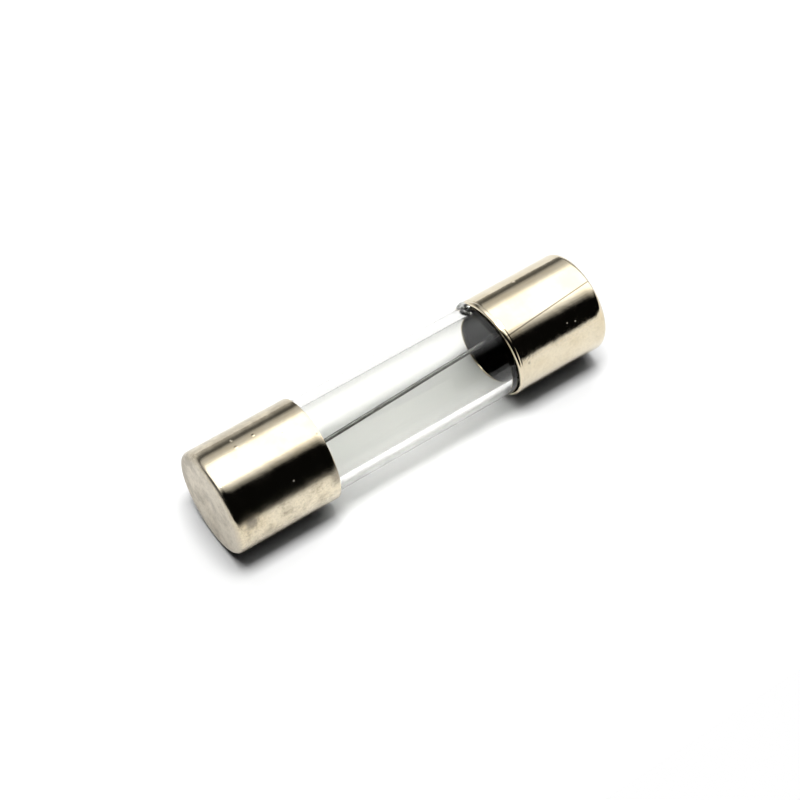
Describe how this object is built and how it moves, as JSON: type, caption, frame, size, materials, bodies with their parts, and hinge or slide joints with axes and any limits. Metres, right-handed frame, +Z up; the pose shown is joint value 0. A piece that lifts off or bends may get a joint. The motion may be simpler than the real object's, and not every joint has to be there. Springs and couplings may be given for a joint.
{
  "type": "cartridge fuse",
  "caption": "Small cartridge fuse: clear glass tube, a drawn metal cap on each end, and a thin fuse wire inside.",
  "frame": {"origin": "middle of the fuse, on its axis, halfway between the outer faces of the two caps", "axes": "+X along the fuse's axis towards the right cap, +Z up, +Y towards the back as the fuse lies on a table"},
  "size_m": [0.0202, 0.005, 0.005],
  "materials": {
    "clear_glass": "clear drawn glass tube with fire-polished ends",
    "nickel_plate": "nickel-plated brass sheet, bright, faintly warm, with fine drawing lines and small dents",
    "fuse_alloy": "dull tinned fuse wire",
    "solder": "cold grey tin solder",
    "cement": "dark glossy cement film"
  },
  "bodies": {
    "root": {"glass_tube": "clear_glass", "end_cap_left": "nickel_plate", "end_cap_right": "nickel_plate", "fuse_wire": "fuse_alloy", "solder_left": "solder", "solder_right": "solder", "cement_left": "cement", "cement_right": "cement"}
  },
  "joints": []
}
